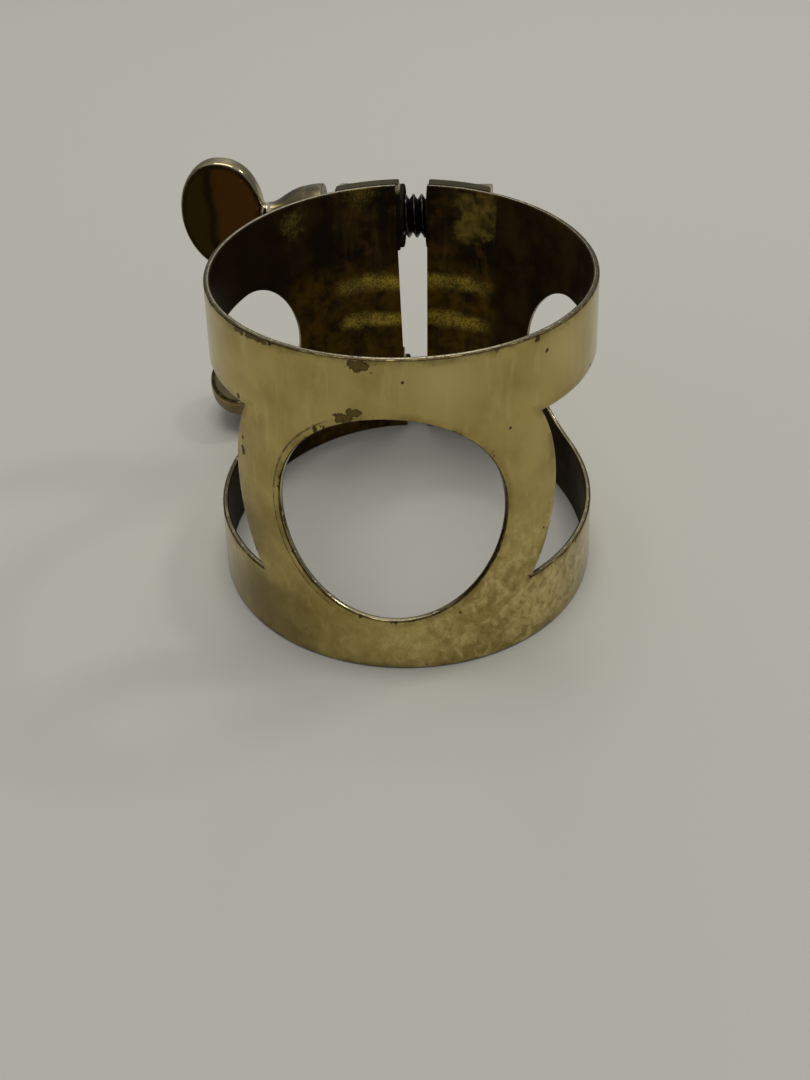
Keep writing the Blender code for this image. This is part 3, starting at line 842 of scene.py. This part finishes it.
def lacquer(s, band):
    """Gold with clouds and streaks and painted highlight patches. Low on the right of the front, a mottle
    with dark curves paints the reflections of ripples in the sheet.
    """
    gold = s.mix(s.ramp(band.cloud, 0.32, 0.66), GOLD_DEEP, GOLD)
    gold = s.mix(s.times(s.ramp(band.streak, 0.50, 0.72), 0.4), gold, GOLD_PALE)
    gold = s.mix(s.times(s.ramp(band.grain, 0.50, 0.75), 0.25), gold, GOLD_DEEP)
    # Painted highlights: patches of paler gold
    bright = [s.spot(centre, size, 1.8, 3.0, band.cloud) for centre, size in HIGHLIGHT_PATCHES]
    gold = s.mix(s.times(s.either(*bright), 0.75), gold, GOLD_PALE)
    # Painted reflections of the ripples: a darker and a paler mottle with dark curves, over bumps that
    # ripple the sheet
    ripple_shade_line = s.ramp(s.off(s.noise(0.8, 2.0, warp=0.8), 0.5), 0.05, 0.0)
    gold = s.mix(s.times(s.ramp(band.mottle, 0.50, 0.36), band.low, 0.50), gold, GOLD_SHADE)
    gold = s.mix(s.times(ripple_shade_line, band.low, 0.40), gold, GOLD_SHADE)
    return s.mix(s.times(s.ramp(band.mottle, 0.52, 0.66), band.low, 0.55), gold, GOLD_GLEAM)


def brown_marks(s, band):
    """Masks of the brown marks on the outside, and of the paler cores of the stains."""
    flake = band.flake
    chips = s.ramp(s.math("SUBTRACT", flake, s.times(band.edge, 0.20)), 0.59, 0.63)
    stains, cores = [], []
    for centre, reach, flatness in STAINS:
        raggedness = STAIN_RAGGEDNESS * reach
        stains.append(s.spot(centre, reach, STAIN_SOFTNESS, raggedness, flake, flatness))
        cores.append(s.spot(centre, reach - STAIN_BORDER, STAIN_SOFTNESS, raggedness, flake, flatness))
    ring = s.ramp(s.off(band.edge, RING_FROM_EDGE), 0.09, 0.02)
    ring = s.times(ring, band.by_hole, s.ramp(band.x, *RING_SIDE))
    ring = s.times(ring, s.span(s.ramp(flake, 0.36, 0.60), 0.2, 0.8))
    return s.either(chips, s.dots(1.2, 0.13, 0.07), ring, *stains), s.either(*cores)


def outer_face(s, band, brown, cores):
    """Colour of the outside: lacquer with hazy edges, dull patches and brown marks."""
    haze = s.times(s.ramp(band.edge, *HAZE_FROM_EDGE), s.ramp(s.noise(0.6, 4.0), 0.40, 0.62), 0.6)
    colour = s.mix(haze, lacquer(s, band), HAZE)
    shade = [s.spot(centre, size, 2.6, 5.0, band.cloud) for centre, size in DULL_PATCHES]
    colour = s.mix(s.times(s.either(*shade), 0.85), colour, DULL_GOLD)
    colour = s.mix(s.times(brown, 0.92), colour, STAIN_EDGE)
    return s.mix(cores, colour, STAIN_CORE)


def rubbed_inside(s, band):
    """Mask of what is rubbed bright on the inside: stripes, faint spots, a patch and drips."""
    flake = band.flake
    speck = s.noise(6.5, 3.0, 0.70)
    wavy = s.math("ADD", band.z, s.sway(band.cover, 1.6))
    stripes = []
    for height in RUBBED_HEIGHTS:
        stripe = s.ramp(s.off(wavy, height), *STRIPE_REACH)
        stripes.append(s.times(stripe, s.ramp(band.across, *STRIPE_SIDES), band.at_back))
    stripes = s.times(s.either(*stripes), s.span(s.ramp(s.noise(0.45, 2.0), 0.36, 0.60), 0.50, 1.15))
    faint = [s.spot(centre, reach, reach, raggedness, flake) for centre, reach, raggedness in FAINT_SPOTS]
    worn = s.either(stripes, s.times(s.either(*faint), 0.26))
    worn = s.times(worn, s.span(s.ramp(speck, 0.40, 0.58), 0.18, 1.0))

    ragged = s.sway(flake, 2.2)
    sideways, upwards = s.math("ADD", band.x, ragged), s.math("ADD", band.z, ragged)
    patch = s.times(s.ramp(sideways, *PATCH_LEFT), s.ramp(band.x, *PATCH_RIGHT), band.at_back)
    patch = s.times(patch, s.ramp(upwards, *PATCH_BOTTOM), s.ramp(upwards, *PATCH_TOP))
    patch = s.times(patch, s.span(s.ramp(s.noise(1.3, 4.0, 0.6), 0.36, 0.66), 0.05, 0.38))
    patch = s.times(patch, s.span(s.ramp(speck, 0.30, 0.55), 0.75, 1.0))

    drips = s.ramp(s.noise(1.0, 4.0, 0.6, stretch=(1.5, 1.5, 0.22)), 0.48, 0.72)
    worn = s.either(worn, patch, s.times(drips, band.plate, 0.05))
    sooty = [s.spot(centre, reach, 0.2, 2.0, flake) for centre, reach in SOOTY_SPOTS]
    return s.times(worn, s.flip(s.times(s.either(*sooty), 0.9)))


def inner_face(s, band, worn):
    """Colour of the inside: dark tarnish that also paints the shade inside the ring, warmer low at the
    back, darkest at the far left, olive where it is rubbed.
    """
    dark = s.mix(s.ramp(band.cover, 0.38, 0.66), DARK_TARNISH_AND_SHADE, UMBER)
    dark = s.mix(s.times(s.ramp(s.noise(0.7, 3.0), 0.50, 0.68), band.plate, 0.7), dark, RUST)
    warm = s.times(s.ramp(band.z, *WARM_HEIGHT), s.ramp(band.x, *WARM_SIDE), band.at_back)
    patchy = s.span(s.ramp(s.noise(0.9, 5.0, 0.65), 0.36, 0.62), 0.05, 0.75)
    dark = s.mix(s.times(warm, patchy), dark, RUSSET)
    dark = s.mix(s.times(s.ramp(band.x, *DARKEST_SIDE), 0.8), dark, DARK_TARNISH_AND_SHADE)
    return s.mix(worn, dark, OLIVE)


def band_material():
    s = Shader("band_brass")
    band = band_zones(s)
    brown, cores = brown_marks(s, band)
    worn = rubbed_inside(s, band)
    colour = s.mix(band.inside, outer_face(s, band, brown, cores), inner_face(s, band, worn))
    dull_rim = s.mix(s.ramp(band.flake, 0.42, 0.62), RIM_DULL, RIM_PALE)
    # The front hole's rim is painted: a pale highlight that turns to dark shade on the right
    hole_rim = s.mix(s.ramp(band.x, *SHADED_RIM_SIDE), PALE_WEAR_AND_HIGHLIGHT, RIM_SHADE)
    colour = s.mix(band.rim, colour, s.mix(band.by_hole, dull_rim, hole_rim))
    # Darkens the rounded edge where the outside turns into the rim, more in some places than others
    seam_darkening = s.times(band.seam, s.span(s.ramp(band.flake, 0.30, 0.55), 0.45, 0.95))
    colour = s.mix(seam_darkening, colour, SEAM_DARK)
    # The dark inside and the slit are made matt and not metallic: tarnish that also paints shade
    tarnish_and_shade = s.times(band.inside, s.flip(s.times(worn, s.flip(band.slit))))
    covered = s.either(s.times(brown, s.flip(band.inside)), s.times(band.seam, 0.5))
    metallic = s.times(s.span(covered, 1.0, STAINED_METAL), s.flip(tarnish_and_shade))
    matt = s.times(s.either(covered, band.inside), 0.26)
    roughness = s.math("ADD", s.span(band.streak, 0.10, 0.26), matt)
    waves = s.bump(s.noise(0.45, 2.0), 0.016)
    ripples = s.bump(band.grain, 0.0012, s.bump(s.times(band.mottle, band.low), 0.020, waves))
    pits = s.bump(s.flip(brown), 0.010, ripples)
    # No gloss in the slit, which is painted shade
    gloss = s.times(s.span(tarnish_and_shade, SPECULAR, 0.04), s.flip(band.slit))
    return s.finish(colour, metallic, roughness, pits, gloss)


def worn_parts(s):
    """Shared masks of the small brass parts: rubbed ridges, dirty grooves and clouds."""
    flake = s.noise(1.7, 5.0, 0.62)
    cloud = s.noise(0.5, 4.0)
    ridge = s.times(s.ramp(s.attribute("ridge"), 1.2, 4.5), s.ramp(flake, 0.34, 0.56))
    groove = s.times(s.ramp(s.attribute("groove"), 0.25, 1.2), s.ramp(flake, 0.25, 0.5))
    return flake, cloud, ridge, groove


def post_slit_shade(s, place, top, flake):
    """Mask of painted shade on the foot's end at the slit and on the ledge that shows through the slit."""
    x, y, z = place
    across = s.math("ABSOLUTE", x)
    taper = (BAND_TOP_RADIUS - BAND_BOTTOM_RADIUS) / BAND_HEIGHT
    off_band = s.math("SUBTRACT", s.math("SUBTRACT", y, s.times(z, taper)), BAND_BOTTOM_RADIUS)
    ledge = s.times(s.ramp(across, FOOT_NEAR + 0.45, FOOT_NEAR + 0.35), s.ramp(off_band, *LEDGE_DEPTH))
    near_slit = s.either(ledge, s.ramp(across, FOOT_NEAR + 0.16, FOOT_NEAR + 0.04))
    return s.times(near_slit, s.ramp(z, top - 0.4, top - 0.9), s.ramp(flake, 0.20, 0.34))


def post_material(name):
    s = Shader(name)
    place = s.axes()
    top = FOOT[name.split("_")[0]][1]
    flake, cloud, ridge, groove = worn_parts(s)
    turning = s.noise(1.0, 3.0, stretch=(9.0, 0.8, 0.8))
    colour = s.mix(s.ramp(cloud, 0.30, 0.68), POST_DEEP, POST_PALE)
    colour = s.mix(s.times(s.ramp(turning, 0.48, 0.70), 0.4), colour, DULL)
    colour = s.mix(s.times(s.attribute("solder"), s.span(flake, 0.5, 1.0)), colour, SOLDER)
    brown = s.either(s.ramp(flake, 0.68, 0.72), s.dots(1.4, 0.18, 0.15), groove)
    colour = s.mix(s.times(brown, 0.8), colour, BROWN)
    colour = s.mix(s.times(ridge, 0.8), colour, PALE_WEAR_AND_HIGHLIGHT)
    # The top face of the foot is painted shade: darker, matt and without gloss
    shaded_top = s.times(s.ramp(place[2], top - POST_EDGE, top - 0.05), s.span(flake, 0.94, 1.0))
    colour = s.mix(shaded_top, colour, s.mix(cloud, FOOT_TOP_SHADE_DEEP, FOOT_TOP_SHADE_PALE))
    # Painted shade in the slit: near black, matt and without gloss
    slit_shade = post_slit_shade(s, place, top, flake)
    colour = s.mix(s.times(slit_shade, 0.97), colour, POST_SLIT_SHADE)
    matt = s.either(slit_shade, shaded_top)
    metallic = s.times(s.span(brown, 1.0, STAINED_METAL), s.flip(matt))
    roughness = s.math("ADD", s.span(turning, 0.26, 0.40), s.times(s.either(brown, slit_shade), 0.25))
    normal = s.bump(turning, 0.003, s.bump(flake, 0.006))
    return s.finish(colour, metallic, roughness, normal, s.span(matt, SPECULAR, 0.0))


def collar_material(name):
    s = Shader(name)
    flake, cloud, ridge, groove = worn_parts(s)
    turning = s.noise(1.0, 3.0, stretch=(12.0, 0.5, 0.5))
    colour = s.mix(s.ramp(cloud, 0.30, 0.66), TARNISHED, TARNISHED_PALE)
    colour = s.mix(s.times(s.ramp(turning, 0.45, 0.70), 0.4), colour, TARNISHED)
    brown = s.either(s.ramp(flake, 0.68, 0.72), groove)
    colour = s.mix(s.times(brown, 0.7), colour, BROWN)
    colour = s.mix(s.times(ridge, 0.5), colour, DULL)
    roughness = s.math("ADD", s.span(turning, 0.28, 0.42), s.times(brown, 0.2))
    normal = s.bump(turning, 0.002, s.bump(flake, 0.004))
    return s.finish(colour, s.span(brown, 1.0, STAINED_METAL), roughness, normal)


def paddle_face(s, level, along, cloud):
    """Colour of the flat face, painted reflection: grey on the lower paddle; on the upper one an olive and
    a brown part, with the dark line of the band's edge reflected between them.
    """
    if level == "lower":
        return s.mix(s.ramp(cloud, 0.30, 0.66), *FACE_REFLECTION_TONES[level])
    wave = s.math("ADD", along, s.sway(cloud, 1.0))
    face = s.mix(s.ramp(wave, *REFLECTION_PARTING), *FACE_REFLECTION_TONES[level])
    line = s.ramp(s.off(wave, REFLECTED_EDGE_LINE), *REFLECTED_EDGE_REACH)
    return s.mix(s.times(line, 0.75), face, REFLECTED_EDGE_DARK)


def paddle_material(name):
    s = Shader(name)
    level = name.split("_")[0]
    bead = BEAD[level]
    flake, cloud, ridge, groove = worn_parts(s)
    depth = s.attribute("face")
    along = s.axes()[0]
    scratch = s.noise(1.0, 4.0, 0.6, stretch=(1.0, 14.0, 0.6))
    colour = s.mix(s.ramp(cloud, 0.30, 0.66), TARNISHED, TARNISHED_PALE)
    # Painted sheen: the neck is paler so that its highlights show white
    colour = s.mix(s.ramp(along, *NECK_SHEEN), colour, NECK)
    # Painted light: the plate's rim is paler brass, in a different tone on each paddle
    colour = s.mix(s.ramp(along, *EDGING_COLOUR), colour, s.mix(s.ramp(cloud, 0.35, 0.60), *LIT_EDGING[level]))
    colour = s.mix(s.ramp(depth, bead, bead + 0.16), colour, paddle_face(s, level, along, cloud))
    # Painted reflection: a dark line just inside the bead, the rounded edge reflecting the dark band
    edge_reflection = s.times(s.ramp(depth, bead - 0.02, bead + 0.08), s.ramp(depth, bead + 0.46, bead + 0.22))
    edge_reflection = s.times(edge_reflection, s.span(s.ramp(flake, 0.30, 0.55), 0.5, 1.0))
    colour = s.mix(s.times(edge_reflection, 0.94), colour, FACE_EDGE_REFLECTION)
    grooves = s.times(groove, s.ramp(along, *FLARE_GRIME))
    brown = s.either(s.ramp(flake, 0.70, 0.74), s.dots(1.1, 0.14, 0.15), grooves)
    colour = s.mix(s.times(brown, 0.5), colour, BROWN)
    colour = s.mix(s.times(ridge, 0.4), colour, PALE_WEAR_AND_HIGHLIGHT)
    # Painted shade on the side of the plate, which is also given a satin roughness
    satin_and_shade = s.times(s.ramp(depth, *SIDE_DEPTH), s.ramp(along, *SIDE_SATIN_AND_SHADE))
    colour = s.mix(s.times(satin_and_shade, 0.55), colour, SIDE_SHADE)
    rough = s.times(s.either(s.ramp(along, *FLARE_ROUGH), satin_and_shade), s.span(satin_and_shade, 0.2, 0.32))
    roughness = s.math("ADD", s.span(scratch, 0.06, 0.15), s.times(brown, 0.25))
    roughness = s.math("ADD", roughness, rough)
    normal = s.bump(scratch, 0.0008, s.bump(s.noise(0.4, 2.0), 0.005))
    return s.finish(colour, s.span(brown, 1.0, STAINED_METAL), roughness, normal)


def stud_material(name):
    s = Shader(name)
    flake = s.noise(2.6, 4.0, 0.6)
    crest = s.times(s.ramp(s.attribute("crest"), 0.72, 1.0), s.ramp(flake, 0.40, 0.60))
    colour = s.mix(s.ramp(flake, 0.35, 0.70), THREAD_DARK, THREAD_PALE)
    colour = s.mix(s.times(crest, 0.45), colour, THREAD_CREST)
    roughness = s.span(flake, 0.28, 0.50)
    return s.finish(colour, s.span(crest, 0.92, 1.0), roughness, s.bump(flake, 0.006))


# Stage


def add_camera():
    data = bpy.data.cameras.new("camera")
    data.sensor_fit = "AUTO"
    data.sensor_width = SENSOR
    data.lens = LENS
    data.clip_start, data.clip_end = CLIP
    camera = bpy.data.objects.new("camera", data)
    bpy.context.scene.collection.objects.link(camera)
    level_ahead = math.cos(PITCH)
    forward = np.array([math.sin(YAW) * level_ahead, math.cos(YAW) * level_ahead, -math.sin(PITCH)])
    level_right = np.cross(forward, (0.0, 0.0, 1.0))
    level_right /= np.linalg.norm(level_right)
    level_up = np.cross(level_right, forward)
    right = math.cos(LEAN) * level_right + math.sin(LEAN) * level_up
    up = math.cos(LEAN) * level_up - math.sin(LEAN) * level_right
    place = Matrix.Identity(4)
    for i in range(3):
        place[i][0], place[i][1], place[i][2] = right[i], up[i], -forward[i]
    place.translation = [MM * along for along in CAMERA]
    camera.matrix_world = place
    bpy.context.scene.camera = camera


def add_floor():
    corners = [(x * FLOOR_REACH, y * FLOOR_REACH, 0) for x, y in ((-1, -1), (1, -1), (1, 1), (-1, 1))]
    mesh = bpy.data.meshes.new("floor")
    mesh.from_pydata(corners, [], [(0, 1, 2, 3)])
    floor = bpy.data.objects.new("floor", mesh)
    floor.location.z = -FLOOR_DROP
    bpy.context.scene.collection.objects.link(floor)
    material = bpy.data.materials.new("floor")
    material.use_nodes = True
    shader = material.node_tree.nodes["Principled BSDF"]
    shader.inputs["Base Color"].default_value = (*FLOOR, 1.0)
    shader.inputs["Roughness"].default_value = 0.95
    shader.inputs["Specular IOR Level"].default_value = 0.1
    mesh.materials.append(material)


def add_area(name, place, aim_height, size, power):
    data = bpy.data.lights.new(name, "AREA")
    data.shape = "RECTANGLE"
    data.size, data.size_y = size
    data.energy = power
    data.color = LAMP_WHITE
    light = bpy.data.objects.new(name, data)
    bpy.context.scene.collection.objects.link(light)
    light.location = place
    light.rotation_euler = (Vector((0, 0, aim_height)) - Vector(place)).to_track_quat("-Z", "Y").to_euler()


def add_lights():
    world = bpy.data.worlds.new("studio")
    world.use_nodes = True
    background = world.node_tree.nodes["Background"]
    background.inputs["Color"].default_value = (*WORLD_WHITE, 1.0)
    background.inputs["Strength"].default_value = WORLD_STRENGTH
    bpy.context.scene.world = world
    for light in LIGHTS:
        add_area(*light)


def dress(piece, material, node, body=None):
    """Gives a piece its material, hides the CAD part of its node, and attaches the piece to the body that
    it rides on.
    """
    piece.data.materials.append(material)
    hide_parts(node)
    if body:
        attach(piece, body)


def main():
    scene = bpy.context.scene
    scene.view_settings.view_transform = "Standard"
    add_camera()
    add_floor()
    add_lights()
    band = make_band()
    dress(band, band_material(), "band")
    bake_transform(band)
    for level in ("upper", "lower"):
        for side, word, body in ((-1, "left", "band"), (1, "right", "right_side")):
            node = f"{level}_{word}_post"
            dress(make_post(level, side), post_material(node), node, body)
        for make, look, word, body in (
            (make_stud, stud_material, "stud", "thumbscrew"),
            (make_collar, collar_material, "collar", "collar"),
            (make_paddle, paddle_material, "paddle", "thumbscrew"),
        ):
            node = f"{level}_{word}"
            dress(make(level), look(node), node, f"{level}_{body}")


main()
